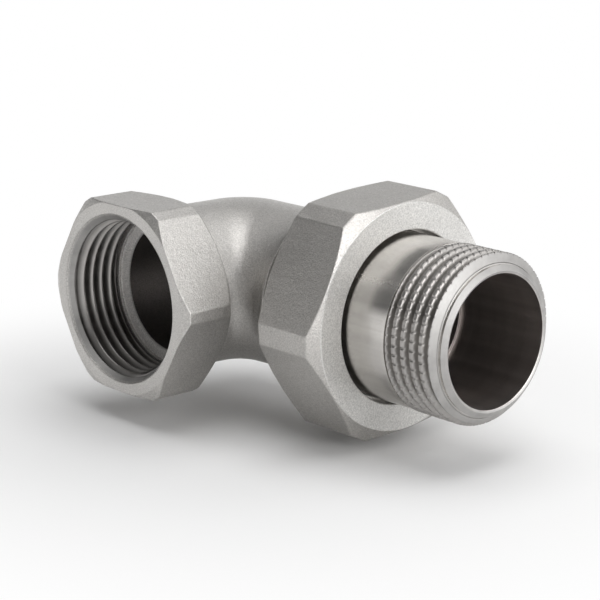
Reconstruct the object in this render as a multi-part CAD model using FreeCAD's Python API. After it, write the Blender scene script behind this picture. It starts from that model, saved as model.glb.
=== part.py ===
import FreeCAD, Part
import math
import os

# DN25 union elbow, G1 at both ports. Millimetres, +Z up.
# It is drawn about the crossing of the port axes: union port along +X, tapped port along -Y.
# At the end everything is moved so that the centre of the tapped port's mouth is the origin.

V = FreeCAD.Vector
AXIS_X = V(1, 0, 0)
AXIS_Y = V(0, 1, 0)
AXIS_Z = V(0, 0, 1)

# Pipe thread G1 of both ports, modelled at its major diameter of 33.249
port_major_r = 33.249 / 2
port_thread_clearance = 0.04
tapped_wall_r = port_major_r + port_thread_clearance

# Union thread G1 1/4, 41.910 over its crests: a true ridge on the elbow, its major diameter in the nut
union_step = 4.3305
union_major_r = port_major_r + union_step
union_pitch = 2.309
thread_depth_share = 0.640327
union_minor_r = union_major_r - thread_depth_share * union_pitch
union_thread_clearance = 0.08
ridge_crest_r = union_major_r - union_thread_clearance / 2
nut_cavity_r = union_major_r + union_thread_clearance / 2
ridge_base_width = 0.8 * union_pitch
ridge_crest_width = 0.156 * union_pitch
ridge_sink = 0.15
ridge_lead = 0.1

# Cast legs, bend and water passage
leg_setback = 0.2245
leg_r = port_major_r - leg_setback
cast_wall = 3.45
bore_r = leg_r - cast_wall
corner_core_step = 0.35
corner_core_r = bore_r + corner_core_step
crotch_fillet_r = 4.6
heel_fillet_r = 12.0
bend_start = leg_r + crotch_fillet_r
bend_stations = 24
section_poles = 32

# Spanner hexagon round the tapped port, 38 across its flats
hex_wall = 2.3355
hex_af = 2 * (tapped_wall_r + hex_wall)
hex_corner_cut = 0.689
hex_overlap = 0.2
hex_rear_y = hex_overlap - bend_start
hex_length = 12.75
hex_front_y = hex_rear_y - hex_length
hex_front_step = 0.43
hex_front_circle_r = hex_af / 2 + hex_front_step
hex_rear_circle_r = hex_af / 2
hex_front_chamfer_deg = 27.5
hex_rear_chamfer_deg = 35.0
hex_fillet_share = 0.77
hex_rear_fillet_r = hex_fillet_share * (hex_rear_circle_r - leg_r)

# Tapped port, from its mouth inwards
mouth_countersink_step = 0.3555
mouth_countersink_r = tapped_wall_r + mouth_countersink_step
mouth_countersink_deg = 37.2
tapped_depth = 9.8
groove_length = 2.3
groove_step = 0.2355
groove_r = tapped_wall_r + groove_step
groove_depth = tapped_depth + groove_length
land_length = 0.65
land_height = 2.25
land_r = bore_r + land_height
land_depth = groove_depth + land_length
shoulder_length = 0.6
shoulder_depth = land_depth + shoulder_length

# Union spigot of the elbow
spigot_step = 0.05
spigot_leg_r = leg_r + spigot_step
spigot_start_x = bend_start - 2 * spigot_step
flare_lead = 1.0
flare_start_x = bend_start + flare_lead
flare_length = 4.6
flare_end_x = flare_start_x + flare_length
flare_rim = 0.6
relief_start_x = flare_end_x + flare_rim
relief_length = 1.2
relief_end_x = relief_start_x + relief_length
relief_depth = 0.2765
relief_r = union_minor_r - relief_depth
flare_rise = 0.4
flare_end_r = relief_r + flare_rise
union_thread_length = 9.5
spigot_end_x = relief_end_x + union_thread_length
spigot_end_chamfer = 1.1

# Tailpiece: collar that passes the nut's thread, neck, male thread and end lip
seal_thickness = 2.0
collar_rear_x = spigot_end_x + seal_thickness
collar_length = 3.56
collar_thread_clearance = 0.2765
collar_r = union_minor_r - collar_thread_clearance
collar_edge = 0.4
shoulder_x = collar_rear_x + collar_length
neck_setback = 0.1745
neck_r = port_major_r - neck_setback
neck_groove = 0.2
neck_length = 13.95
thread_start_x = shoulder_x + neck_length
port_thread_length = 10.89
thread_end_x = thread_start_x + port_thread_length
end_chamfer_length = 0.6
end_chamfer_depth = 1.5745
thread_chamfer_end_r = port_major_r - end_chamfer_depth
lip_root_x = thread_end_x + end_chamfer_length
lip_groove = 0.2
lip_r = thread_chamfer_end_r - 2 * lip_groove
lip_length = 1.2
lip_taper = 0.3
lip_edge_x = lip_root_x + lip_length
lip_edge_r = lip_r - lip_taper
nose_length = 0.39
nose_taper = 0.3
tail_end_x = lip_edge_x + nose_length
end_face_r = lip_edge_r - nose_taper
lip_wall = 1.7
tail_bore_r = lip_r - lip_wall
mouth_edge = 0.25
bore_step = 0.6
bore_step_depth = 6.04
bore_step_x = shoulder_x + bore_step_depth
deep_bore_r = tail_bore_r - bore_step

# Flat seal ring between the elbow and the collar
seal_bore_step = 0.45
seal_inner_r = bore_r + seal_bore_step
seal_setback = 0.2
seal_outer_r = collar_r - seal_setback

# Union nut, 45.5 across its flats
nut_wall = 1.755
nut_af = 2 * (nut_cavity_r + nut_wall)
nut_corner_cut = 1.1695
nut_shoulder_clearance = 0.04
nut_shoulder_x = shoulder_x + nut_shoulder_clearance
nut_head = 3.48
nut_front_x = nut_shoulder_x + nut_head
nut_length = 15.98
nut_rear_x = nut_front_x - nut_length
nut_front_setback = 0.13
nut_front_circle_r = nut_af / 2 - nut_front_setback
nut_rear_circle_r = nut_af / 2
nut_chamfer_deg = 27.5
nut_face_step = 0.15
nut_hole_clearance = 0.74
nut_hole_r = neck_r + nut_hole_clearance
nut_hole_edge = 0.45
nut_countersink = 0.6
nut_turn_deg = 4.36

# How far a cutter runs past what it cuts, and how close counts as the same place
past = 1.0
near = 0.01


def turned(outline, axis):
    """Solid of revolution about X or Y. An entry is (along, radius), or an arc's middle and end together."""

    def place(along, radius):
        return V(along, radius, 0) if axis == AXIS_X else V(radius, along, 0)

    edges = []
    here = place(*outline[0][-2:])
    for entry in outline[1:] + outline[:1]:
        there = place(*entry[-2:])
        if len(entry) == 4:
            edges.append(Part.Arc(here, place(*entry[:2]), there).toShape())
        else:
            edges.append(Part.makeLine(here, there))
        here = there
    return Part.Face(Part.Wire(edges)).revolve(V(0, 0, 0), axis, 360)


def drop(from_r, to_r, degrees):
    """How far a chamfer cone falls back along the axis between two radii."""
    return (to_r - from_r) * math.tan(math.radians(degrees))


def cut_hexagon(across_flats, corner_cut, start, end, axis, turn_deg):
    """Hexagonal prism along X or Y whose six corners are cut flat."""
    facet_distance = across_flats / math.sqrt(3) - corner_cut
    half_facet = corner_cut * math.sqrt(3)
    corners = []
    for k in range(6):
        angle = math.radians(60 * k + turn_deg)
        for side in (-half_facet, half_facet):
            u = facet_distance * math.cos(angle) - side * math.sin(angle)
            v = facet_distance * math.sin(angle) + side * math.cos(angle)
            corners.append(V(start, u, v) if axis == AXIS_X else V(u, start, v))
    face = Part.Face(Part.makePolygon(corners + corners[:1]))
    return face.extrude(axis * (end - start))


def bend_reach(angle_deg):
    """From the crotch fillet's axis out to the back of the bend: straight legs joined by the heel's arc."""
    straight = bend_start + leg_r
    centre = straight - heel_fillet_r
    angle = math.radians(min(angle_deg, 90 - angle_deg))
    if math.tan(angle) < centre / straight:
        return straight / math.cos(angle)
    off = math.radians(45) - angle
    centre_reach = centre * math.sqrt(2)
    return centre_reach * math.cos(off) + math.sqrt(heel_fillet_r**2 - (centre_reach * math.sin(off)) ** 2)


def bend_point(angle_deg, turn):
    """Pole of the bend's oval at this angle about the crotch fillet's upright axis."""
    angle = math.radians(angle_deg)
    outward = V(-math.cos(angle), math.sin(angle), 0)
    half_width = (bend_reach(angle_deg) - crotch_fillet_r) / 2
    centre = V(bend_start, -bend_start, 0) + outward * (crotch_fillet_r + half_width)
    pull = 3 / (2 + math.cos(2 * math.pi / section_poles))
    across = outward * (half_width * pull * math.cos(turn))
    return centre + across + AXIS_Z * (leg_r * pull * math.sin(turn))


def bend():
    """Solid bend between the two legs: one smooth surface of ovals, closed by a flat disc at each end."""
    angles = [90.0 * k / bend_stations for k in range(bend_stations + 1)]
    rows = []
    for k in range(section_poles):
        line = Part.BSplineCurve()
        points = [bend_point(angle, 2 * math.pi * k / section_poles) for angle in angles]
        line.interpolate(Points=points, Parameters=angles)
        rows.append(line.getPoles())
    around = list(range(section_poles + 1))
    surface = Part.BSplineSurface()
    surface.buildFromPolesMultsKnots(
        rows, [1] * len(around), line.getMultiplicities(), around, line.getKnots(), True, False, 3, 3
    )
    side = surface.toShape()
    rims = [edge for edge in side.Edges if edge.isClosed()]
    discs = [Part.Face(Part.Wire(edge)) for edge in rims]
    shell = Part.Shell([side] + discs)
    shell.sewShape()
    return Part.Solid(shell)


def port_hexagon():
    """Spanner hexagon of the tapped port, with turned chamfers at both ends."""
    wide_r = hex_af / math.sqrt(3) + past
    keep = turned(
        [
            (hex_front_y, 0),
            (hex_front_y, hex_front_circle_r),
            (hex_front_y + drop(hex_front_circle_r, wide_r, hex_front_chamfer_deg), wide_r),
            (hex_rear_y - drop(hex_rear_circle_r, wide_r, hex_rear_chamfer_deg), wide_r),
            (hex_rear_y, hex_rear_circle_r),
            (hex_rear_y, 0),
        ],
        AXIS_Y,
    )
    return cut_hexagon(hex_af, hex_corner_cut, hex_front_y, hex_rear_y, AXIS_Y, 0).common(keep)


def union_thread():
    """Threaded length of the union spigot: a core with a right-hand ridge, trimmed to its ends."""
    run_in = union_pitch / 2
    length = spigot_end_x - relief_end_x + 2 * run_in
    base, crest = ridge_base_width / 2, ridge_crest_width / 2
    low_r = union_minor_r - ridge_sink
    low = base + ridge_sink * (base - crest) / (ridge_crest_r - union_minor_r)
    section = Part.makePolygon(
        [
            V(low_r, 0, -low),
            V(ridge_crest_r, 0, -crest),
            V(ridge_crest_r, 0, crest),
            V(low_r, 0, low),
            V(low_r, 0, -low),
        ]
    )
    helix = Part.Wire(Part.makeHelix(union_pitch, length, union_minor_r).Edges)
    ridge = helix.makePipeShell([section], True, True)
    core = Part.makeCylinder(union_minor_r, length + 4 * run_in, V(0, 0, -2 * run_in), AXIS_Z)
    threaded = core.fuse(ridge)
    threaded.rotate(V(0, 0, 0), AXIS_Y, 90)
    threaded.translate(AXIS_X * (relief_end_x - run_in))
    wide_r = ridge_crest_r + past
    keep = turned(
        [
            (relief_end_x, 0),
            (relief_end_x, union_minor_r + ridge_lead),
            (relief_end_x + wide_r - union_minor_r - ridge_lead, wide_r),
            (spigot_end_x - spigot_end_chamfer - past, wide_r),
            (spigot_end_x, ridge_crest_r - spigot_end_chamfer),
            (spigot_end_x, 0),
        ],
        AXIS_X,
    )
    return threaded.common(keep)


def union_spigot():
    """Flared end of the elbow with its relief groove and thread."""
    rise = flare_end_r - spigot_leg_r
    run = flare_end_x - flare_start_x
    half_angle = math.atan2(rise, run)
    flare_r = run / math.sin(2 * half_angle)
    middle_x = flare_start_x + flare_r * math.sin(half_angle)
    middle_r = spigot_leg_r + flare_r * (1 - math.cos(half_angle))
    flare = turned(
        [
            (spigot_start_x, 0),
            (spigot_start_x, spigot_leg_r),
            (flare_start_x, spigot_leg_r),
            (middle_x, middle_r, flare_end_x, flare_end_r),
            (relief_start_x, flare_end_r),
            (relief_start_x, relief_r),
            (relief_end_x, relief_r),
            (relief_end_x + past, relief_r - past),
            (relief_end_x + past, 0),
        ],
        AXIS_X,
    )
    return flare.fuse(union_thread())


def tapped_port():
    """Everything that is cut out behind the mouth: countersink, thread, groove, land and shoulder."""
    flare = math.tan(math.radians(mouth_countersink_deg))
    countersink = (mouth_countersink_r - tapped_wall_r) / flare
    y = hex_front_y
    return turned(
        [
            (y - past, 0),
            (y - past, mouth_countersink_r + past * flare),
            (y + countersink, tapped_wall_r),
            (y + tapped_depth, tapped_wall_r),
            (y + tapped_depth, groove_r),
            (y + groove_depth, groove_r),
            (y + groove_depth, land_r),
            (y + land_depth, land_r),
            (y + shoulder_depth, bore_r),
            (0, bore_r),
            (0, 0),
        ],
        AXIS_Y,
    )


def elbow_body():
    """Cast elbow: hexagon, bend and union spigot in one piece, hollow from port to port."""
    outside = bend().fuse(port_hexagon()).Solids[0].removeSplitter()
    junction = [e for e in outside.Edges if e.isClosed() and abs(e.CenterOfMass.y - hex_rear_y) < near]
    outside = outside.makeFillet(hex_rear_fillet_r, junction)
    outside = outside.fuse(union_spigot())
    passage = Part.makeSphere(corner_core_r)
    passage = passage.fuse(Part.makeCylinder(bore_r, spigot_end_x + past, V(0, 0, 0), AXIS_X))
    passage = passage.fuse(tapped_port())
    return outside.cut(passage)


def seal_ring():
    """Flat ring between the elbow's seat and the tailpiece's collar."""
    return turned(
        [
            (spigot_end_x, seal_inner_r),
            (spigot_end_x, seal_outer_r),
            (collar_rear_x, seal_outer_r),
            (collar_rear_x, seal_inner_r),
        ],
        AXIS_X,
    )


def tailpiece():
    """Loose end of the union: collar held by the nut, turned neck, G1 male thread and end lip."""
    return turned(
        [
            (collar_rear_x, deep_bore_r),
            (collar_rear_x, collar_r - collar_edge),
            (collar_rear_x + collar_edge, collar_r),
            (shoulder_x - collar_edge, collar_r),
            (shoulder_x, collar_r - collar_edge),
            (shoulder_x, neck_r),
            (thread_start_x - 2 * neck_groove, neck_r),
            (thread_start_x - neck_groove, neck_r - neck_groove),
            (thread_start_x, port_major_r),
            (thread_end_x, port_major_r),
            (lip_root_x, thread_chamfer_end_r),
            (lip_root_x - lip_groove, (thread_chamfer_end_r + lip_r) / 2),
            (lip_root_x, lip_r),
            (lip_edge_x, lip_edge_r),
            (tail_end_x, end_face_r),
            (tail_end_x, tail_bore_r + mouth_edge),
            (tail_end_x - mouth_edge, tail_bore_r),
            (bore_step_x, tail_bore_r),
            (bore_step_x, deep_bore_r),
        ],
        AXIS_X,
    )


def union_nut():
    """Hexagon nut that draws the tailpiece's collar against the seal."""
    wide_r = nut_af / math.sqrt(3) + past
    chamfer_front_x = nut_front_x - nut_face_step
    keep = turned(
        [
            (nut_rear_x, 0),
            (nut_rear_x, nut_rear_circle_r),
            (nut_rear_x + drop(nut_rear_circle_r, wide_r, nut_chamfer_deg), wide_r),
            (chamfer_front_x - drop(nut_front_circle_r, wide_r, nut_chamfer_deg), wide_r),
            (chamfer_front_x, nut_front_circle_r),
            (nut_front_x, nut_front_circle_r - nut_face_step),
            (nut_front_x, 0),
        ],
        AXIS_X,
    )
    cavity = turned(
        [
            (nut_rear_x - past, 0),
            (nut_rear_x - past, nut_cavity_r + nut_countersink + past),
            (nut_rear_x + nut_countersink, nut_cavity_r),
            (nut_shoulder_x, nut_cavity_r),
            (nut_shoulder_x, nut_hole_r),
            (nut_front_x - nut_hole_edge, nut_hole_r),
            (nut_front_x + past, nut_hole_r + nut_hole_edge + past),
            (nut_front_x + past, 0),
        ],
        AXIS_X,
    )
    hexagon = cut_hexagon(nut_af, nut_corner_cut, nut_rear_x, nut_front_x, AXIS_X, nut_turn_deg)
    return hexagon.common(keep).cut(cavity)


def write(name, shape):
    """One closed solid, moved so that the tapped port's mouth is the origin, as one STEP file."""
    solid = shape.Solids[0].removeSplitter()
    solid.translate(V(0, -hex_front_y, 0))
    solid.exportStep(f"parts/{name}.step")
    print(name, solid.ShapeType, solid.isValid(), len(shape.Solids), len(solid.Faces), solid.Volume)


os.makedirs("parts", exist_ok=True)
write("elbow_body", elbow_body())
write("seal_ring", seal_ring())
write("tailpiece", tailpiece())
write("union_nut", union_nut())
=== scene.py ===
import math

import bpy
import numpy as np
from mathutils import Matrix, Vector


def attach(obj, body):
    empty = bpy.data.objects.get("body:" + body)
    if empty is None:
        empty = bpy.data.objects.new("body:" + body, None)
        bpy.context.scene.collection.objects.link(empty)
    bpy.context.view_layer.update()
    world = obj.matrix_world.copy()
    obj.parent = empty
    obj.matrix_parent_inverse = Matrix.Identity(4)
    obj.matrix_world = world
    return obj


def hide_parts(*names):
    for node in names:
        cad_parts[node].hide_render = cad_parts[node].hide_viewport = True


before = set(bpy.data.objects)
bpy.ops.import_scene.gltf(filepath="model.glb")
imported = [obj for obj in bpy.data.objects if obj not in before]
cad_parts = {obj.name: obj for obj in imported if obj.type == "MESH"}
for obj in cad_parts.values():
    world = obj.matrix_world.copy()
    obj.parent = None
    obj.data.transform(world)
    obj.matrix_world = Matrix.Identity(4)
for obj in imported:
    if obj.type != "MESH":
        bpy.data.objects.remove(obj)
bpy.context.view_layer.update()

bl_info = {
    "name": "Union elbow",
    "version": (1, 0, 0),
    "blender": (4, 5, 0),
    "location": "View3D > Sidebar > Union elbow",
    "description": "Dresses the packed union elbow: casting, nut, threads, tailpiece, finishes and a plain studio",
    "category": "Object",
}

PORT_REACH = 0.03355
TURN = 2 * math.pi


def size(name, text, default):
    """A length property in metres."""
    return bpy.props.FloatProperty(
        name=name, description=text, default=default, min=0.0, unit="LENGTH", subtype="DISTANCE", precision=5
    )


def share(name, text, default, high=1.0):
    """A plain number from 0 to its highest value."""
    return bpy.props.FloatProperty(name=name, description=text, default=default, min=0.0, max=high)


def colour(name, text, default):
    """A linear colour."""
    return bpy.props.FloatVectorProperty(
        name=name, description=text, default=default, size=3, min=0.0, max=1.0, subtype="COLOR"
    )


class CastingSizes(bpy.types.PropertyGroup):
    """Sizes of the elbow casting."""

    leg_radius: size("Leg radius", "Outside radius of both legs", 0.0164)
    bore_radius: size("Bore radius", "Radius of the water passage", 0.01295)
    core_radius: size("Core radius", "Radius of the ball that rounds the passage's corner", 0.0133)
    crotch_radius: size("Crotch radius", "Fillet in the inner corner of the bend", 0.0046)
    heel_radius: size("Heel radius", "Rounding of the outer corner of the bend", 0.012)
    hexagon_flats: size("Hexagon across flats", "Width of the spanner hexagon", 0.038)
    hexagon_cut: size("Hexagon corner cut", "How far each corner is cut back to a facet", 0.000689)
    hexagon_length: size("Hexagon length", "Length of the spanner hexagon along its port", 0.01275)
    port_wall: size("Port wall radius", "Major radius of the tapped port", 0.0166645)
    spigot_end: size("Spigot end", "Distance of the union seat from the crossing of the axes", 0.0379)


class NutSizes(bpy.types.PropertyGroup):
    """Sizes of the union nut."""

    flats: size("Across flats", "Width of the nut's hexagon", 0.0455)
    corner_cut: size("Corner cut", "How far each corner is cut back to a facet", 0.0011695)
    rear: size("Rear face", "Distance of the rear face from the crossing of the axes", 0.031)
    front: size("Front face", "Distance of the front face from the crossing of the axes", 0.04698)
    hole_radius: size("Hole radius", "Radius of the hole round the neck", 0.01719)
    cavity_radius: size("Cavity radius", "Major radius of the nut's thread", 0.020995)
    turned: bpy.props.FloatProperty(
        name="Turned by", description="Turn of the nut about the union axis at rest",
        default=math.radians(4.36), subtype="ANGLE",
    )


class TailSizes(bpy.types.PropertyGroup):
    """Sizes of the tailpiece."""

    collar_rear: size("Collar rear", "Distance of the collar's seat from the crossing of the axes", 0.0399)
    collar_radius: size("Collar radius", "Radius of the collar inside the nut", 0.0192)
    neck_radius: size("Neck radius", "Radius of the turned neck", 0.01645)
    thread_start: size("Thread start", "Where the male thread begins", 0.05741)
    thread_end: size("Thread end", "Where the thread's end chamfer begins", 0.0683)
    tail_end: size("Tail end", "Where the tailpiece ends", 0.07049)
    bore_radius: size("Bore radius", "Radius of the tailpiece's bore", 0.01295)
    deep_bore_radius: size("Deep bore radius", "Radius of the bore past its step", 0.01235)


class ThreadSizes(bpy.types.PropertyGroup):
    """Sizes of the pipe threads."""

    pitch: size("Pitch", "Advance of each thread in one turn", 0.002309)
    port_major: size("Port major radius", "Crest radius of the male pipe thread", 0.0166245)
    port_minor: size("Port minor radius", "Root radius of the male pipe thread", 0.0151455)
    union_crest: size("Union crest radius", "Crest radius of the union thread", 0.020915)
    union_root: size("Union root radius", "Root radius of the union thread", 0.0194765)
    notches: bpy.props.IntProperty(
        name="Notches", description="Notches in the male crests in one turn", default=58, min=0, max=120
    )
    notch_depth: size("Notch depth", "Depth of the notches in the male crests", 0.0002)


class Finishes(bpy.types.PropertyGroup):
    """Colours and roughness of the metal and plastic."""

    cast: colour("Casting", "Colour of the blasted casting", (0.56, 0.545, 0.525))
    cast_roughness: share("Casting roughness", "Roughness of the blasted casting", 0.40)
    nut: colour("Nut", "Colour of the nut's blasted flats", (0.53, 0.515, 0.495))
    nut_roughness: share("Nut roughness", "Roughness of the nut's flats", 0.40)
    # Painted light: the front face's lighter colour stands in for light falling on it.
    nut_face_light: colour("Nut face", "Colour of the nut's turned front face", (0.72, 0.71, 0.69))
    nut_face_roughness: share("Nut face roughness", "Roughness of the nut's turned front face", 0.52)
    turned: colour("Turned metal", "Colour of the turned metal", (0.60, 0.58, 0.555))
    turned_roughness: share("Turned roughness", "Roughness of the turned metal", 0.22)
    thread: colour("Threads", "Colour of the cut threads", (0.41, 0.395, 0.38))
    thread_roughness: share("Thread roughness", "Roughness of the cut threads", 0.34)
    satin: colour("Satin end", "Colour of the tailpiece's satin end and thread chamfer", (0.44, 0.43, 0.42))
    satin_roughness: share("Satin roughness", "Roughness of the tailpiece's end and thread chamfer", 0.52)
    bored: colour("Tail bore", "Colour of the tailpiece's bore", (0.56, 0.52, 0.50))
    bored_roughness: share("Tail bore roughness", "Roughness of the tailpiece's bore", 0.36)
    # Painted shade: the dark colour inside the bores stands in for the shade there.
    passage: colour("Passage", "Colour of the dull metal inside the bores", (0.24, 0.225, 0.215))
    passage_roughness: share("Passage roughness", "Roughness inside the bores", 0.5)
    # Painted light: the shoulder's lighter colour stands in for light on this shaded step.
    shoulder: colour("Port shoulder", "Colour of the turned shoulder behind the port's thread", (0.78, 0.76, 0.74))
    shoulder_roughness: share("Shoulder roughness", "Roughness of the port's shoulder", 0.55)
    seal: colour("Seal", "Colour of the plastic seal ring", (0.82, 0.82, 0.79))


LAMPS = {
    # name: (direction from the object, distance, width, height, power)
    "top": ((0.0, 0.0, 1.0), 1.0, 0.9, 0.9, 5.5),
    "back_right": ((0.57, 0.66, 0.49), 1.1, 0.8, 0.6, 2.45),
    "back_top": ((-0.14, 0.66, 0.74), 1.1, 0.7, 0.6, 0.8),
    "back_left": ((-0.71, 0.61, 0.35), 1.1, 0.8, 0.6, 0.6),
    "right": ((0.95, 0.05, 0.35), 1.1, 0.8, 0.6, 7.1),
}


def power(text, name):
    """The power of the lamp of that name, in watts."""
    return share(text, f"Power of the {text.lower()} in watts", LAMPS[name][4], 50.0)


class StudioSettings(bpy.types.PropertyGroup):
    """Plain studio light and floor."""

    floor_level: bpy.props.FloatProperty(
        name="Floor level", description="Height of the floor", default=-0.0256, unit="LENGTH"
    )
    floor_colour: colour("Floor", "Colour of the floor", (0.93, 0.93, 0.93))
    world_light: share("World light", "Even light from all round", 0.19, 2.0)
    top: power("Light overhead", "top")
    back_right: power("Light behind on the right", "back_right")
    back_top: power("High light behind", "back_top")
    back_left: power("Light behind on the left", "back_left")
    right: power("Light on the right", "right")


# ---------------------------------------------------------------- surfaces


def cut_hexagon(flats, corner_cut, turned, along_flat=18, along_facet=8, rounding=0.35, steps=4):
    """Outline of a hexagon with cut corners, as angles and radii in millimetres.

    Twelve corners, each side's normal 30 degrees from the next: facets at the turn plus multiples of 60 degrees
    and flats between them. Each corner becomes the quadratic curve (1-t)^2 A + 2t(1-t) C + t^2 B."""
    facet = flats / math.sqrt(3) - corner_cut
    half_facet = corner_cut * math.sqrt(3)
    normals = turned + np.repeat(np.arange(6) * TURN / 6, 2)
    side = np.tile([-half_facet, half_facet], 6)
    corners = np.stack(
        [facet * np.cos(normals) - side * np.sin(normals), facet * np.sin(normals) + side * np.cos(normals)], -1
    )
    before, after = np.roll(corners, 1, 0) - corners, np.roll(corners, -1, 0) - corners
    cut = np.minimum(rounding, 0.4 * 2 * half_facet)
    a = corners + cut * before / np.linalg.norm(before, axis=1)[:, None]
    b = corners + cut * after / np.linalg.norm(after, axis=1)[:, None]
    t = np.linspace(0, 1, steps + 1)[:, None]
    parts = []
    for k in range(12):
        parts.append((1 - t) ** 2 * a[k] + 2 * t * (1 - t) * corners[k] + t**2 * b[k])
        count = along_facet if k % 2 == 0 else along_flat
        w = np.linspace(0, 1, count + 1)[1:-1, None]
        parts.append(b[k] * (1 - w) + a[(k + 1) % 12] * w)
    points = np.concatenate(parts)
    return np.arctan2(points[:, 1], points[:, 0]), np.hypot(points[:, 0], points[:, 1])


def rows(along, radius, count):
    """Corner rows of a profile: two arrays, one value per angle in each row."""
    return np.stack([np.broadcast_to(np.asarray(along, float), (count,)),
                     np.broadcast_to(np.asarray(radius, float), (count,))], -1)


def soften(corners, cuts, steps=4):
    """Closed profile with rounded corners.

    corners is (rows, angles, 2). A corner C with a cut becomes (1-t)^2 A + 2t(1-t) C + t^2 B for t from 0 to 1,
    where A and B lie the cut before and after C, or 0.45 of the side if that is less."""
    before, after = np.roll(corners, 1, 0) - corners, np.roll(corners, -1, 0) - corners
    lb = np.maximum(np.linalg.norm(before, axis=-1, keepdims=True), 1e-9)
    la = np.maximum(np.linalg.norm(after, axis=-1, keepdims=True), 1e-9)
    cut = np.asarray(cuts, float)[:, None, None]
    a = corners + before / lb * np.minimum(cut, 0.45 * lb)
    b = corners + after / la * np.minimum(cut, 0.45 * la)
    t = np.linspace(0, 1, steps + 1)[:, None, None]
    parts = []
    for k, c in enumerate(cuts):
        if c > 0:
            parts.append((1 - t) ** 2 * a[k] + 2 * t * (1 - t) * corners[k] + t**2 * b[k])
        else:
            parts.append(corners[k][None])
    return np.concatenate(parts)


def about_x(profile, angles):
    """Points (x, r cos a, r sin a) of a profile (rows, angles, 2) round the union axis."""
    x, r = profile[..., 0], profile[..., 1]
    return np.stack([x, r * np.cos(angles), r * np.sin(angles)], -1)


def about_y(profile, angles):
    """Points (-r cos a, y, r sin a) of a profile (rows, angles, 2) round the tapped port's axis."""
    y, r = profile[..., 0], profile[..., 1]
    return np.stack([-r * np.cos(angles), y, r * np.sin(angles)], -1)


def ridge(offset, pitch, base, crest):
    """Height from 0 to 1 of a thread ridge at this offset along the axis: 1 over the crest, falling evenly to 0
    at half the base width."""
    off = np.abs((offset + pitch / 2) % pitch - pitch / 2)
    return np.clip((base / 2 - off) / (base / 2 - crest / 2), 0, 1)


def closed_grid(name, points, body, material, replaces=()):
    """Mesh piece from a grid of points in millimetres about the crossing of the axes, closed both ways.

    Each normal is the sum of its four faces' areas as vectors, so that flats stay flat beside their rounded edges."""
    count, around = points.shape[:2]
    place = points * 0.001 + np.array([0, PORT_REACH, 0])
    index = np.arange(count * around).reshape(count, around)
    quads = np.stack(
        [index, np.roll(index, -1, 1), np.roll(np.roll(index, -1, 0), -1, 1), np.roll(index, -1, 0)], -1
    ).reshape(-1, 4)
    flat = place.reshape(-1, 3)
    p = flat[quads]
    area = np.cross(p[:, 2] - p[:, 0], p[:, 3] - p[:, 1])
    volume = np.einsum("ij,ij->", p.mean(1) - flat.mean(0), area)
    if volume < 0:
        quads, area = quads[:, ::-1], -area
    area = area.reshape(count, around, 3)
    normal = area + np.roll(area, 1, 0) + np.roll(area, 1, 1) + np.roll(np.roll(area, 1, 0), 1, 1)
    normal = (normal / np.maximum(np.linalg.norm(normal, axis=-1, keepdims=True), 1e-20)).reshape(-1, 3)
    mesh = bpy.data.meshes.new(name)
    mesh.vertices.add(len(flat))
    mesh.vertices.foreach_set("co", flat.astype(np.float32).ravel())
    mesh.loops.add(quads.size)
    mesh.loops.foreach_set("vertex_index", quads.astype(np.int32).ravel())
    mesh.polygons.add(len(quads))
    mesh.polygons.foreach_set("loop_start", np.arange(0, quads.size, 4, dtype=np.int32))
    mesh.update(calc_edges=True)
    mesh.validate()
    mesh.polygons.foreach_set("use_smooth", np.ones(len(mesh.polygons), bool))
    if len(mesh.vertices) == len(normal):
        mesh.normals_split_custom_set_from_vertices(normal.tolist())
    mesh.materials.append(material)
    piece = bpy.data.objects.new(name, mesh)
    bpy.context.scene.collection.objects.link(piece)
    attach(piece, body)
    if replaces:
        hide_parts(*replaces)
    return piece


def bend_reach(angle, straight, heel):
    """From the crotch fillet's axis out to the back of the bend at this angle.

    The straight legs give straight / cos(angle); between them runs the heel's arc, whose centre lies
    (straight - heel) from both legs' walls."""
    low = np.minimum(angle, TURN / 4 - angle)
    centre = straight - heel
    off = TURN / 8 - low
    reach = centre * math.sqrt(2)
    arc = reach * np.cos(off) + np.sqrt(np.maximum(heel**2 - (reach * np.sin(off)) ** 2, 0))
    return np.where(np.tan(low) < centre / straight, straight / np.cos(low), arc)


def bend_points(angle, turn, leg, crotch, heel):
    """Outside of the bend: ovals in upright planes through the crotch fillet's axis.

    At an angle the oval reaches from the crotch radius to the bend's reach, is as high as the legs, and
    its point at a turn is centre + outward * half_width * cos(turn) + up * leg * sin(turn)."""
    start = leg + crotch
    half = (bend_reach(angle, start + leg, heel) - crotch) / 2
    out = crotch + half + half * np.cos(turn)
    return np.stack([start - out * np.cos(angle), -start + out * np.sin(angle), leg * np.sin(turn) + 0 * out], -1)


def passage_points(angle, turn, bore, core):
    """Inside of the bend: planes through the upright line where the two bores' walls meet.

    A plane's point at a height z leaves the bores where |x| = s or |y| = s, with s = sqrt(bore^2 - z^2),
    or at the corner where x^2 + y^2 + z^2 = core^2."""
    z = bore * np.sin(turn) + 0 * angle
    s = bore * np.abs(np.cos(turn)) + 0 * angle
    ca, sa = np.maximum(np.cos(angle), 1e-6), np.maximum(np.sin(angle), 1e-6)
    inner = (bore - s) / np.maximum(ca, sa)
    by_y, by_x = (bore + s) / ca, (bore + s) / sa
    along = bore * (ca + sa)
    ball = along + np.sqrt(np.maximum(along**2 - 2 * bore**2 + core**2 - z**2, 0))
    outer = np.where(by_y * sa <= bore, by_y, np.where(by_x * ca <= bore, by_x, ball))
    out = np.where(np.cos(turn) < 0, inner, outer)
    return np.stack([bore - out * ca, -bore + out * sa, z], -1)


# ---------------------------------------------------------------- finishes


def node(tree, kind, **values):
    """A shader node with its input defaults set by name or number."""
    made = tree.nodes.new(kind)
    for key, value in values.items():
        if key.startswith("in_"):
            made.inputs[int(key[3:])].default_value = value
        else:
            setattr(made, key, value)
    return made


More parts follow.
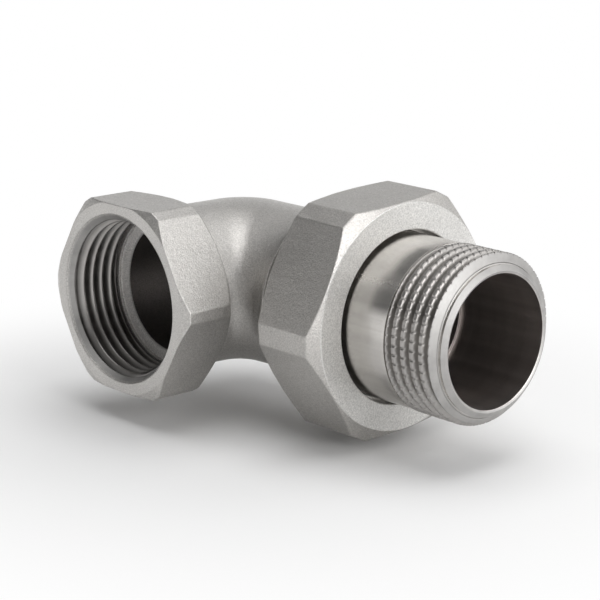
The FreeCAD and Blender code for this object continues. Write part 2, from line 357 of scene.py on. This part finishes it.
def ramp(tree, source, low, high, dark, light):
    """Colour ramp between two values, from a dark grey to a light one."""
    made = node(tree, "ShaderNodeValToRGB")
    made.color_ramp.elements[0].position, made.color_ramp.elements[1].position = low, high
    made.color_ramp.elements[0].color = (dark, dark, dark, 1)
    made.color_ramp.elements[1].color = (light, light, light, 1)
    tree.links.new(source, made.inputs[0])
    return made.outputs[0]


def feed(tree, socket, value):
    """Link a socket to another one, or set it to a number or a colour."""
    if isinstance(value, bpy.types.NodeSocket):
        tree.links.new(value, socket)
    elif isinstance(value, (int, float)):
        socket.default_value = value
    else:
        socket.default_value = (*value, 1)


def mixed(tree, factor, a, b, how="MIX"):
    """Mix of two colours, each a socket or a colour."""
    made = node(tree, "ShaderNodeMix", data_type="RGBA", blend_type=how)
    for socket, value in ((made.inputs[0], factor), (made.inputs[6], a), (made.inputs[7], b)):
        feed(tree, socket, value)
    return made.outputs[2]


def blank(name, metallic, roughness):
    """A material with a Principled shader and object coordinates."""
    made = bpy.data.materials.new(name)
    made.use_nodes = True
    tree = made.node_tree
    tree.nodes.clear()
    out = node(tree, "ShaderNodeOutputMaterial")
    shader = node(tree, "ShaderNodeBsdfPrincipled")
    shader.inputs["Metallic"].default_value = metallic
    shader.inputs["Roughness"].default_value = roughness
    tree.links.new(shader.outputs[0], out.inputs[0])
    where = node(tree, "ShaderNodeTexCoord").outputs["Object"]
    return made, tree, shader, where


def noise(tree, where, scale, detail=2.0, roughness=0.5):
    """Noise of the object coordinates."""
    made = node(tree, "ShaderNodeTexNoise")
    made.inputs["Scale"].default_value = scale
    made.inputs["Detail"].default_value = detail
    made.inputs["Roughness"].default_value = roughness
    tree.links.new(where, made.inputs["Vector"])
    return made.outputs["Fac"]


def bumps(tree, shader, heights):
    """Chain of bump nodes: pairs of a height socket and its size in metres."""
    last = None
    for height, distance in heights:
        made = node(tree, "ShaderNodeBump")
        made.inputs["Strength"].default_value = 1.0
        made.inputs["Distance"].default_value = distance
        tree.links.new(height, made.inputs["Height"])
        if last is not None:
            tree.links.new(last, made.inputs["Normal"])
        last = made.outputs[0]
    tree.links.new(last, shader.inputs["Normal"])


def from_axes(tree, where):
    """Object coordinates about the crossing of the axes: x, y, z sockets."""
    centred = node(tree, "ShaderNodeMapping")
    centred.inputs["Location"].default_value = (0, -PORT_REACH, 0)
    tree.links.new(where, centred.inputs[0])
    apart = node(tree, "ShaderNodeSeparateXYZ")
    tree.links.new(centred.outputs[0], apart.inputs[0])
    return apart.outputs


def maths(tree, how, a, b):
    """A math node on two sockets or numbers."""
    made = node(tree, "ShaderNodeMath", operation=how)
    for socket, value in zip(made.inputs, (a, b)):
        feed(tree, socket, value)
    return made.outputs[0]


def vector_of(tree, *parts):
    """The vector with these sockets or numbers as its parts."""
    made = node(tree, "ShaderNodeCombineXYZ")
    for socket, value in zip(made.inputs, parts):
        feed(tree, socket, value)
    return made.outputs[0]


def length_of(tree, *parts):
    """Length of the vector with these sockets or numbers as its parts."""
    measured = node(tree, "ShaderNodeVectorMath", operation="LENGTH")
    tree.links.new(vector_of(tree, *parts), measured.inputs[0])
    return measured.outputs["Value"]


def between(tree, value, low, high, at_low, at_high):
    """Straight change from one number to another while a socket runs from low to high."""
    made = node(tree, "ShaderNodeMapRange", in_1=low, in_2=high, in_3=at_low, in_4=at_high)
    tree.links.new(value, made.inputs[0])
    return made.outputs[0]


# Mask of the painted shade inside the bores; it also sets their roughness and grain.
def passage_shade_mask(tree, where):
    """1 in the two bores and the round corner between them, 0 outside: the distance to the nearer leg's half axis,
    which is (x, y above 0, z) for the tapped port's leg and (x below 0, y, z) for the union's leg."""
    x, y, z = from_axes(tree, where)
    port = length_of(tree, x, maths(tree, "MAXIMUM", y, 0.0), z)
    union = length_of(tree, maths(tree, "MINIMUM", x, 0.0), y, z)
    return between(tree, maths(tree, "MINIMUM", port, union), 0.0134, 0.0142, 1.0, 0.0)


# Mask of the painted light on the port's shoulder; it also sets its roughness and grain.
def shoulder_light_mask(tree, where):
    """1 on the turned shoulder behind the port's thread, 0 elsewhere: 11.9 to 13.3 mm behind the mouth, within
    16.95 mm of the port's axis."""
    x, y, z = from_axes(tree, where)
    mouth = -PORT_REACH
    past = between(tree, y, mouth + 0.0119, mouth + 0.01195, 0.0, 1.0)
    before = between(tree, y, mouth + 0.0132, mouth + 0.0134, 1.0, 0.0)
    near = between(tree, length_of(tree, x, z, 0.0), 0.01695, 0.017, 1.0, 0.0)
    return maths(tree, "MULTIPLY", maths(tree, "MULTIPLY", past, before), near)


# Mask of the painted light on the nut's front face; it also sets its roughness and grain.
def nut_face_light_mask(tree, where):
    """1 on the nut's turned front face, 0 behind it."""
    front = bpy.context.scene.union_nut.front
    return between(tree, from_axes(tree, where)[0], front - 0.00022, front - 0.00012, 0.0, 1.0)


def blasted(name, base, roughness, parts):
    """Blasted stainless casting: fine grain in height, colour and roughness, with faint cloudy patches.

    Each part is (mask of the object coordinates, colour, roughness, share of the grain)."""
    made, tree, shader, where = blank(name, 1.0, roughness)
    fine = noise(tree, where, 3400, 3, 0.7)
    coarse = noise(tree, where, 1100, 2, 0.55)
    cloud = noise(tree, where, 60, 3, 0.5)
    colour_now, rough, grain = base, roughness, 1.0
    for part, part_base, part_roughness, part_grain in parts:
        mask = part(tree, where)
        colour_now = mixed(tree, mask, colour_now, part_base)
        rough = maths(tree, "ADD", rough, between(tree, mask, 0.0, 1.0, 0.0, part_roughness - roughness))
        grain = maths(tree, "MULTIPLY", grain, between(tree, mask, 0.0, 1.0, 1.0, part_grain))
    colour_now = mixed(tree, 1.0, colour_now, ramp(tree, fine, 0.32, 0.7, 0.76, 1.22), "MULTIPLY")
    colour_now = mixed(tree, 1.0, colour_now, ramp(tree, cloud, 0.3, 0.7, 0.93, 1.05), "MULTIPLY")
    tree.links.new(colour_now, shader.inputs["Base Color"])
    rough = maths(tree, "ADD", rough, between(tree, coarse, 0.3, 0.7, -0.05, 0.07))
    tree.links.new(rough, shader.inputs["Roughness"])
    bumps(tree, shader, [(maths(tree, "MULTIPLY", fine, grain), 0.00009),
                         (maths(tree, "MULTIPLY", coarse, grain), 0.00005)])
    return made


def at_tail_end(tree, along, out):
    """1 on the thread's end chamfer and the tailpiece's end cone outside its bore, 0 elsewhere and in the groove
    between them."""
    s = bpy.context.scene.union_tail
    chamfer = between(tree, along, s.thread_end + 0.00002, s.thread_end + 0.00007, 0.0, 1.0)
    groove = between(tree, along, s.thread_end + 0.00086, s.thread_end + 0.0009, 1.0, 0.0)
    cone = between(tree, along, s.tail_end - 0.00078, s.tail_end - 0.00074, 0.0, 1.0)
    past = maths(tree, "MAXIMUM", maths(tree, "MULTIPLY", chamfer, groove), cone)
    outside = between(tree, out, s.bore_radius + 0.00005, s.bore_radius + 0.00015, 0.0, 1.0)
    return maths(tree, "MULTIPLY", past, outside)


def at_port_mouth(tree, along, out):
    """1 on the tapped port's countersink, down to 1.5 mm behind its mouth, 0 behind it."""
    return between(tree, along, 0.0015 - PORT_REACH, 0.00155 - PORT_REACH, 1.0, 0.0)


def in_tail_bore(tree, along, out):
    """1 on the walls of the tailpiece's bore, 0 outside it."""
    bore = bpy.context.scene.union_tail.bore_radius
    return between(tree, out, bore + 0.00002, bore + 0.00008, 1.0, 0.0)


def lathe_turned(name, base, roughness, axis, root_shade=None, parts=()):
    """Turned stainless: fine rings round the axis in height and roughness, with soft streaks along it.

    The rings read the distance along the axis plus the distance from it, and the streaks the place across it. In
    colour the streaks are painted sheen: bands along the axis that stand in for the smeared highlights of the turned
    rings.
    Roots is (dark radius, light radius, share): painted shade in a thread's roots, the colour multiplied by the share
    at the dark radius.
    Each part is (mask, colour, roughness), its mask made from the distances along the axis and from it."""
    made, tree, shader, where = blank(name, 1.0, roughness)
    x, y, z = from_axes(tree, where)
    along, side = (x, y) if axis == "X" else (y, x)
    out = length_of(tree, side, z, 0.0)
    place, across = vector_of(tree, along, out), vector_of(tree, side, z)
    rings = noise(tree, place, 4200, 2, 0.6)
    broad = noise(tree, place, 500, 2, 0.5)
    sheen_streaks = noise(tree, across, 330, 3, 0.55)
    speck = noise(tree, where, 2600, 2, 0.5)
    colour_now, rough = base, roughness
    if root_shade:
        dark, light, low = root_shade
        # Painted shade: the colour darkens towards the thread's roots, by distance from the axis.
        colour_now = mixed(tree, between(tree, out, dark, light, 1.0, 0.0), base, tuple(low * v for v in base))
    for part, part_base, part_roughness in parts:
        mask = part(tree, along, out)
        colour_now = mixed(tree, mask, colour_now, part_base)
        rough = maths(tree, "ADD", rough, between(tree, mask, 0.0, 1.0, 0.0, part_roughness - roughness))
    colour_now = mixed(tree, 1.0, colour_now, ramp(tree, broad, 0.3, 0.7, 0.95, 1.04), "MULTIPLY")
    # Painted sheen: lighter and darker bands along the axis, by the place across it.
    colour_now = mixed(tree, 1.0, colour_now, ramp(tree, sheen_streaks, 0.3, 0.7, 0.86, 1.1), "MULTIPLY")
    tree.links.new(colour_now, shader.inputs["Base Color"])
    rough = maths(tree, "ADD", rough, between(tree, sheen_streaks, 0.3, 0.7, -0.03, 0.05))
    rough = maths(tree, "ADD", rough, between(tree, speck, 0.3, 0.7, -0.015, 0.02))
    tree.links.new(rough, shader.inputs["Roughness"])
    bumps(tree, shader, [(rings, 0.000007), (speck, 0.000004)])
    return made


def moulded(name, base):
    """Pale plastic of the seal ring."""
    made, tree, shader, where = blank(name, 0.0, 0.45)
    fine = noise(tree, where, 900, 2)
    tone = ramp(tree, fine, 0.3, 0.7, 0.94, 1.04)
    tree.links.new(mixed(tree, 1.0, base, tone, "MULTIPLY"), shader.inputs["Base Color"])
    bumps(tree, shader, [(fine, 0.00003)])
    return made


def finish_named(name):
    """The finish of that name, made the first time it is asked for."""
    if name in bpy.data.materials:
        return bpy.data.materials[name]
    s = bpy.context.scene.union_finishes
    if name == "cast stainless":
        # Painted shade: the passage's dark colour.
        return blasted(name, s.cast, s.cast_roughness, [(passage_shade_mask, s.passage, s.passage_roughness, 0.3),
                                                        # Painted light: the shoulder's lighter colour.
                                                        (shoulder_light_mask, s.shoulder, s.shoulder_roughness, 0.2)])
    if name == "nut stainless":
        # Painted light: the nut's front face gets a lighter colour.
        return blasted(name, s.nut, s.nut_roughness, [(nut_face_light_mask, s.nut_face_light, s.nut_face_roughness, 0.15)])
    if name == "turned stainless":
        return lathe_turned(name, s.turned, s.turned_roughness, "X", None,
                            [(at_tail_end, s.satin, s.satin_roughness), (in_tail_bore, s.bored, s.bored_roughness)])
    if name == "male thread":
        return lathe_turned(name, s.thread, s.thread_roughness, "X", None,
                            [(at_tail_end, s.satin, s.satin_roughness)])
    if name == "port thread":
        # Painted shade in the port thread's roots: darker from 15.3 mm out to 15.9 mm from the axis.
        return lathe_turned(name, s.thread, s.thread_roughness, "Y", (0.0159, 0.0153, 0.6),
                            [(at_port_mouth, s.satin, s.satin_roughness)])
    return moulded(name, s.seal)


# ---------------------------------------------------------------- operators


class UNION_OT_camera(bpy.types.Operator):
    """Set the camera to the photograph's viewing angle"""

    bl_idname = "union_elbow.camera"
    bl_label = "Camera"

    def execute(self, context):
        azimuth, elevation, roll = math.radians(47.08), math.radians(14.42), math.radians(-0.62)
        ca, sa, ce, se = math.cos(azimuth), math.sin(azimuth), math.cos(elevation), math.sin(elevation)
        back = Vector((sa * ce, -ca * ce, se))
        right = Vector((ca, sa, 0))
        up = back.cross(right)
        turned = Matrix(((math.cos(roll), -math.sin(roll), 0), (math.sin(roll), math.cos(roll), 0), (0, 0, 1)))
        look = turned @ Matrix((right, up, back))
        place = look.transposed() @ Vector((0.01145, -0.00556, 0.42821)) + Vector((0, PORT_REACH, 0))
        lens = bpy.data.cameras.new("Camera")
        lens.sensor_fit = "HORIZONTAL"
        lens.sensor_width = 36.0
        lens.lens = 2050.1 / 600 * 36
        lens.clip_start = 0.01
        lens.clip_end = 50
        camera = bpy.data.objects.new("Camera", lens)
        camera.matrix_world = Matrix.Translation(place) @ look.transposed().to_4x4()
        context.scene.collection.objects.link(camera)
        context.scene.camera = camera
        return {"FINISHED"}


class UNION_OT_casting(bpy.types.Operator):
    """Make the elbow casting with its hexagon, bend, union spigot and hollow passage"""

    bl_idname = "union_elbow.casting"
    bl_label = "Elbow casting"

    def execute(self, context):
        s, thread = context.scene.union_casting, context.scene.union_threads
        leg, bore, core = s.leg_radius * 1000, s.bore_radius * 1000, s.core_radius * 1000
        crotch, heel, end = s.crotch_radius * 1000, s.heel_radius * 1000, s.spigot_end * 1000
        wall = s.port_wall * 1000
        start = leg + crotch
        front = -PORT_REACH * 1000
        rear = front + s.hexagon_length * 1000
        angle, edge = cut_hexagon(s.hexagon_flats * 1000, s.hexagon_cut * 1000, 0.0)
        turn = np.pi - angle
        n = len(turn)
        flat = s.hexagon_flats * 500
        front_r = np.minimum(flat + 0.43, edge - 0.1)
        rear_r = np.minimum(flat, edge - 0.1)
        front_y = front + np.maximum((edge - flat - 0.43) * math.tan(math.radians(27.5)), 0.09)
        rear_y = rear - np.maximum((edge - flat) * math.tan(math.radians(35)), 0.09)
        step = 0.77 * (flat - leg)
        # Rear face, fillet foot on the bend, and the bend's rings
        foot = np.full(n, math.asin(0.2 / start))
        for _ in range(4):
            half = (bend_reach(foot, start + leg, heel) - crotch) / 2
            foot = np.arcsin(np.clip((start + rear + step) / (crotch + half + half * np.cos(turn)), 0, 0.8))
        base = bend_points(foot * 0.12, turn, leg, crotch, heel)
        landing = bend_points(foot, turn, leg, crotch, heel)
        rim = about_y(rows(rear, leg + step, n), turn)
        t = np.linspace(0, 1, 9)[:, None, None]
        fillet = (1 - t) ** 2 * rim + 2 * t * (1 - t) * base + t**2 * landing
        k = np.linspace(0, 1, 72)[1:, None]
        bend = bend_points(foot + (TURN / 4 - foot) * k, turn[None], leg, crotch, heel)
        # Hexagon from the mouth's edge round the outside to the rear face
        head = np.stack([
            rows(front, wall + 0.3555, n), rows(front, wall + 0.42, n), rows(front + 0.1, wall + 0.47, n),
            rows(front, wall + 0.52, n), rows(front, front_r, n), rows(front_y, edge, n),
            rows(rear_y, edge, n), rows(rear, rear_r, n), rows(rear, leg + step + 0.1, n),
        ])
        head = soften(head, [0.03, 0, 0, 0, 0.12, 0.22, 0.3, 0.25, 0])
        # Spigot: flare, rim, relief, union thread and seat
        rise, run = 19.6 - leg - 0.05, 4.6
        half_angle = math.atan2(rise, run)
        flare_r = run / math.sin(2 * half_angle)
        sweep = np.linspace(0, 2 * half_angle, 12)
        flare_x = start + 1 + flare_r * np.sin(sweep)
        flare_y = leg + 0.05 + flare_r * (1 - np.cos(sweep))
        spigot = [rows(start + 0.3, leg + 0.02, n)] + [rows(a, b, n) for a, b in zip(flare_x, flare_y)]
        spigot += [rows(27.14, 19.6, n), rows(27.2, 19.54, n), rows(27.2, 19.26, n), rows(27.26, 19.2, n),
                   rows(28.3, 19.2, n), rows(28.4, 19.24, n)]
        x = np.linspace(28.45, end - 0.03, 88)[:, None] + np.zeros(n)
        pitch, root, crest = thread.pitch * 1000, thread.union_root * 1000, thread.union_crest * 1000
        begin = 28.4 - pitch / 2 + pitch * (turn + TURN / 4) / TURN
        height = root + (crest - root) * ridge(x - begin, pitch, 0.8 * pitch, 0.156 * pitch)
        limit = np.minimum(root + 0.1 + x - 28.4, crest - 1.1 + end - x)
        helix = np.stack([x, np.minimum(height, np.maximum(limit, 19.2))], -1)
        seat = np.stack([
            rows(end - 0.03, crest - 1.1, n), rows(end, crest - 1.15, n), rows(end, bore + 0.15, n),
            rows(end - 0.15, bore, n), rows(end - 2, bore, n),
        ])
        seat = soften(seat, [0, 0, 0.1, 0.1, 0])
        outer = np.concatenate([about_x(np.stack(spigot), turn), about_x(helix, turn), about_x(seat, turn)])
        # Passage back through the bend to the tapped port
        bored = about_x(np.stack([rows(v, bore, n) for v in np.linspace(end - 6, bore + 0.5, 8)]), turn)
        corner = passage_points(np.linspace(TURN / 4, 0, 44)[:, None], turn[None], bore, core)
        down = about_y(np.stack([rows(v, bore, n) for v in np.linspace(-bore - 0.5, front + 13.9, 6)]), turn)
        mouth = np.stack([
            rows(front + 13.35, bore, n), rows(front + 12.75, 15.2, n), rows(front + 12.1, 15.2, n),
            rows(front + 12.1, 16.9, n), rows(front + 9.8, 16.9, n), rows(front + 9.8, wall, n),
            rows(front + 0.468, wall, n), rows(front + 0.2, wall + 0.2, n),
        ])
        mouth = soften(mouth, [0.1, 0.1, 0.1, 0.15, 0.15, 0.1, 0.05, 0])
        points = np.concatenate([
            about_y(head, turn), fillet, bend, outer, bored, corner, down, about_y(mouth, turn),
        ])
        finish = finish_named("cast stainless")
        closed_grid("elbow_casting", points, "elbow", finish, ["elbow_body"])
        return {"FINISHED"}


class UNION_OT_port_thread(bpy.types.Operator):
    """Make the helical thread inside the tapped port"""

    bl_idname = "union_elbow.port_thread"
    bl_label = "Tapped port thread"

    def execute(self, context):
        s, thread = context.scene.union_casting, context.scene.union_threads
        front, wall, pitch = -PORT_REACH * 1000, s.port_wall * 1000, thread.pitch * 1000
        crest = thread.port_minor * 1000
        turn = np.linspace(0, TURN, 288, endpoint=False)
        depth = np.linspace(0.3, 12.05, 124)[:, None] + np.zeros(288)
        begin = 3.015 + pitch * turn / TURN
        tooth = ridge(depth - begin, pitch, 0.97 * pitch, 0.08 * pitch)
        countersink = np.clip((1.42 - depth) / 0.12, 0, 1)
        tooth = np.maximum(tooth, countersink)
        tooth = tooth * tooth * (3 - 2 * tooth) * 0.35 + tooth * 0.65
        r = wall - 0.02 - (wall - crest) * tooth
        cone = wall + 0.3555 - depth * math.tan(math.radians(37.2))
        fade = wall - (12.1 - depth) * 2.2
        r = np.minimum(np.maximum(np.maximum(r, cone), fade), wall + 0.1)
        helix = np.stack([front + depth, r], -1)
        back = np.stack([rows(front + 12.05, wall + 0.3, 288), rows(front + 9.7, wall + 0.3, 288),
                         rows(front + 9.7, wall + 0.2, 288), rows(front + 0.3, wall + 0.2, 288)])
        points = about_y(np.concatenate([helix, back]), turn)
        closed_grid("port_thread", points, "elbow", finish_named("port thread"))
        return {"FINISHED"}


class UNION_OT_nut(bpy.types.Operator):
    """Make the union nut"""

    bl_idname = "union_elbow.nut"
    bl_label = "Union nut"

    def execute(self, context):
        s = context.scene.union_nut
        front, rear, hole, cavity = s.front * 1000, s.rear * 1000, s.hole_radius * 1000, s.cavity_radius * 1000
        angle, edge = cut_hexagon(s.flats * 1000, s.corner_cut * 1000, s.turned)
        n = len(angle)
        flat = s.flats * 500
        slope = math.tan(math.radians(27.5))
        step_x = front - 0.25
        front_r = np.minimum(flat - 0.13, edge - 0.1)
        rear_r = np.minimum(flat, edge - 0.1)
        profile = np.stack([
            rows(front, hole + 0.18, n), rows(front, flat - 0.28, n), rows(step_x, front_r, n),
            rows(step_x - (edge - flat + 0.13) * slope, edge, n),
            rows(rear + np.maximum((edge - flat) * slope, 0.09), edge, n),
            rows(rear, rear_r, n), rows(rear, cavity + 0.6, n), rows(rear + 0.6, cavity, n),
            rows(43.5, cavity, n), rows(43.5, hole, n), rows(front - 0.18, hole, n),
        ])
        profile = soften(profile, [0.08, 0.05, 0.04, 0.3, 0.3, 0.2, 0.1, 0.1, 0.2, 0.1, 0.08])
        closed_grid("nut_casting", about_x(profile, angle), "nut", finish_named("nut stainless"),
                    ["union_nut"])
        return {"FINISHED"}


class UNION_OT_tailpiece(bpy.types.Operator):
    """Make the tailpiece with its neck, lip and bore"""

    bl_idname = "union_elbow.tailpiece"
    bl_label = "Tailpiece"

    def execute(self, context):
        s, thread = context.scene.union_tail, context.scene.union_threads
        rear, collar, neck = s.collar_rear * 1000, s.collar_radius * 1000, s.neck_radius * 1000
        begin, stop, end = s.thread_start * 1000, s.thread_end * 1000, s.tail_end * 1000
        bore, deep, inside = s.bore_radius * 1000, s.deep_bore_radius * 1000, thread.port_minor * 1000 - 0.25
        angle = np.linspace(0, TURN, 256, endpoint=False)
        outline = [
            (rear, deep, 0.1), (rear, collar, 0.35), (43.46, collar, 0.35), (43.46, neck, 0.2),
            (begin - 0.24, neck, 0.02), (begin - 0.2, neck - 0.25, 0), (begin + 0.3, inside, 0),
            (stop, inside, 0), (stop + 0.84, 14.88, 0), (stop + 0.9, 14.3, 0.03), (end - 0.84, 14.28, 0.03),
            (end - 0.72, 14.5, 0.05),
            (end, bore + 0.5, 0.08), (end - 0.25, bore, 0.08), (end - 8, bore, 0),
            (49.5, bore, 0.08), (49.5, deep, 0.08), (45.0, deep, 0),
        ]
        corners = np.stack([rows(x, r, len(angle)) for x, r, _ in outline])
        profile = soften(corners, [c for _, _, c in outline])
        closed_grid("tail_body", about_x(profile, angle), "tail",
                    finish_named("turned stainless"), ["tailpiece"])
        return {"FINISHED"}


class UNION_OT_male_thread(bpy.types.Operator):
    """Make the helical male thread with its notched crests and end chamfer"""

    bl_idname = "union_elbow.male_thread"
    bl_label = "Male thread"

    def execute(self, context):
        s, thread = context.scene.union_tail, context.scene.union_threads
        begin, stop = s.thread_start * 1000, s.thread_end * 1000
        pitch, major, minor = thread.pitch * 1000, thread.port_major * 1000, thread.port_minor * 1000
        count = 870
        angle = np.linspace(0, TURN, count, endpoint=False)
        x = np.linspace(begin - 0.1, stop + 0.86, 108)[:, None] + np.zeros(count)
        lead = 66.5 + pitch * (angle - math.radians(176)) / TURN
        tooth = ridge(x - lead, pitch, 0.94 * pitch, 0.3 * pitch)
        tooth = tooth * (1 - 0.3) + 0.3 * tooth * tooth * (3 - 2 * tooth)
        notch = 0.5 + 0.5 * np.cos(angle * thread.notches)
        notch = np.clip((notch - 0.9) / 0.06, 0, 1)
        worn = 0.02 * np.sin(angle * thread.notches * 2 + 1.3) + 0.03 * np.sin(angle * 7 + x * 3)
        r = minor + (major - minor) * tooth
        cut = np.clip((tooth - 0.55) / 0.45, 0, 1)
        r = r - cut * (notch * thread.notch_depth * 1000 + 0.03 + worn * 0.6)
        chamfer = major - 0.02 - (x - stop) * 2.02
        r = np.minimum(r, np.minimum(chamfer, major))
        run_out = np.clip((x - begin + 0.1) / 0.35, 0, 1)
        r = np.where(x < begin + 0.25, np.minimum(r, 16.25 + 0.3 * run_out), r)
        helix = np.stack([x, np.maximum(r, 14.86)], -1)
        under = minor - 0.5
        back = np.stack([rows(stop + 0.86, under, count), rows(begin - 0.1, under, count)])
        points = about_x(np.concatenate([helix, back]), angle)
        closed_grid("male_thread", points, "tail", finish_named("male thread"))
        return {"FINISHED"}


class UNION_OT_seal(bpy.types.Operator):
    """Give the seal ring its plastic finish"""

    bl_idname = "union_elbow.seal"
    bl_label = "Seal ring"

    def execute(self, context):
        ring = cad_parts["seal_ring"]
        ring.data.materials.clear()
        ring.data.materials.append(finish_named("seal plastic"))
        return {"FINISHED"}


class UNION_OT_stage(bpy.types.Operator):
    """Make the plain floor and the soft studio light"""

    bl_idname = "union_elbow.stage"
    bl_label = "Studio"

    def lamp(self, name, power):
        """A soft rectangular light facing the object."""
        towards, distance, wide, tall, _ = LAMPS[name]
        made = bpy.data.lights.new(name, "AREA")
        made.shape = "RECTANGLE"
        made.size, made.size_y, made.energy = wide, tall, power
        lamp = bpy.data.objects.new(name, made)
        centre = Vector((0.02, 0.03, 0))
        direction = Vector(towards).normalized()
        aim = (-direction).to_track_quat("-Z", "Y")
        lamp.matrix_world = Matrix.Translation(centre + direction * distance) @ aim.to_matrix().to_4x4()
        bpy.context.scene.collection.objects.link(lamp)

    def white_when_seen(self, tree, lit, strength):
        """Shader that camera, glossy and transmission rays see as plain white where the strength socket is 1."""
        path = node(tree, "ShaderNodeLightPath")
        seen = maths(tree, "MAXIMUM", path.outputs["Is Camera Ray"], path.outputs["Is Glossy Ray"])
        seen = maths(tree, "MAXIMUM", seen, path.outputs["Is Transmission Ray"])
        plain = node(tree, "ShaderNodeEmission")
        plain.inputs[0].default_value = (1, 1, 1, 1)
        plain.inputs[1].default_value = 1.0
        both = node(tree, "ShaderNodeMixShader")
        tree.links.new(maths(tree, "MULTIPLY", seen, strength), both.inputs[0])
        tree.links.new(lit, both.inputs[1])
        tree.links.new(plain.outputs[0], both.inputs[2])
        return both.outputs[0]

    def floor_mesh(self, level):
        """Round floor, flat to 1.5 m, then rising as a quarter oval: 1.5 + 1.8 sin t out and 0.7 (1 - cos t) up."""
        t = np.linspace(0, TURN / 4, 13)
        out = np.concatenate([[0.2, 0.8], 1.5 + 1.8 * np.sin(t)])[:, None]
        up = np.concatenate([[0, 0], 0.7 * (1 - np.cos(t))])[:, None] + level
        turn = np.linspace(0, TURN, 72, endpoint=False)
        ring = np.stack([out * np.cos(turn), out * np.sin(turn), up + 0 * turn], -1)
        places = np.concatenate([[[0, 0, level]], ring.reshape(-1, 3)])
        index = 1 + np.arange(ring.shape[0] * 72).reshape(-1, 72)
        quads = np.stack([index[:-1], index[1:], np.roll(index[1:], -1, 1), np.roll(index[:-1], -1, 1)], -1)
        middle = np.stack([0 * index[0], index[0], np.roll(index[0], -1)], -1)
        mesh = bpy.data.meshes.new("floor")
        mesh.from_pydata(places.tolist(), [], middle.tolist() + quads.reshape(-1, 4).tolist())
        mesh.polygons.foreach_set("use_smooth", np.ones(len(mesh.polygons), bool))
        return mesh

    def execute(self, context):
        s = context.scene.union_studio
        mesh = self.floor_mesh(s.floor_level)
        paint = bpy.data.materials.new("floor")
        paint.use_nodes = True
        tree = paint.node_tree
        tree.nodes.clear()
        out = node(tree, "ShaderNodeOutputMaterial")
        matt = node(tree, "ShaderNodeBsdfDiffuse")
        matt.inputs[0].default_value = (*s.floor_colour, 1)
        where = node(tree, "ShaderNodeTexCoord")
        centred = node(tree, "ShaderNodeMapping")
        centred.inputs["Location"].default_value = (-0.022, -0.028, 0)
        tree.links.new(where.outputs["Object"], centred.inputs[0])
        away = node(tree, "ShaderNodeVectorMath", operation="LENGTH")
        tree.links.new(centred.outputs[0], away.inputs[0])
        fade = node(tree, "ShaderNodeMapRange", interpolation_type="SMOOTHSTEP", in_1=0.045, in_2=0.12)
        tree.links.new(away.outputs["Value"], fade.inputs[0])
        tree.links.new(self.white_when_seen(tree, matt.outputs[0], fade.outputs[0]), out.inputs[0])
        mesh.materials.append(paint)
        floor = bpy.data.objects.new("floor", mesh)
        context.scene.collection.objects.link(floor)
        world = bpy.data.worlds.new("studio")
        world.use_nodes = True
        back = world.node_tree.nodes["Background"]
        back.inputs[0].default_value = (1, 1, 1, 1)
        back.inputs[1].default_value = s.world_light
        context.scene.world = world
        for name in LAMPS:
            self.lamp(name, getattr(s, name))
        context.scene.view_settings.view_transform = "Standard"
        return {"FINISHED"}


class UNION_PT_panel(bpy.types.Panel):
    """Steps of the union elbow"""

    bl_idname = "UNION_PT_panel"
    bl_label = "Union elbow"
    bl_space_type = "VIEW_3D"
    bl_region_type = "UI"
    bl_category = "Union elbow"

    def draw(self, context):
        for step in STEPS:
            self.layout.operator(step.bl_idname)


STEPS = (
    UNION_OT_camera, UNION_OT_casting, UNION_OT_port_thread, UNION_OT_nut, UNION_OT_tailpiece,
    UNION_OT_male_thread, UNION_OT_seal, UNION_OT_stage,
)
GROUPS = {
    "union_casting": CastingSizes,
    "union_nut": NutSizes,
    "union_tail": TailSizes,
    "union_threads": ThreadSizes,
    "union_finishes": Finishes,
    "union_studio": StudioSettings,
}
CLASSES = (*GROUPS.values(), *STEPS, UNION_PT_panel)


def register():
    for item in CLASSES:
        bpy.utils.register_class(item)
    for name, group in GROUPS.items():
        setattr(bpy.types.Scene, name, bpy.props.PointerProperty(type=group))


def unregister():
    for name in GROUPS:
        delattr(bpy.types.Scene, name)
    for item in reversed(CLASSES):
        bpy.utils.unregister_class(item)


def main():
    register()
    bpy.ops.union_elbow.camera()
    bpy.ops.union_elbow.casting()
    bpy.ops.union_elbow.port_thread()
    bpy.ops.union_elbow.nut()
    bpy.ops.union_elbow.tailpiece()
    bpy.ops.union_elbow.male_thread()
    bpy.ops.union_elbow.seal()
    bpy.ops.union_elbow.stage()


if __name__ == "__main__":
    main()
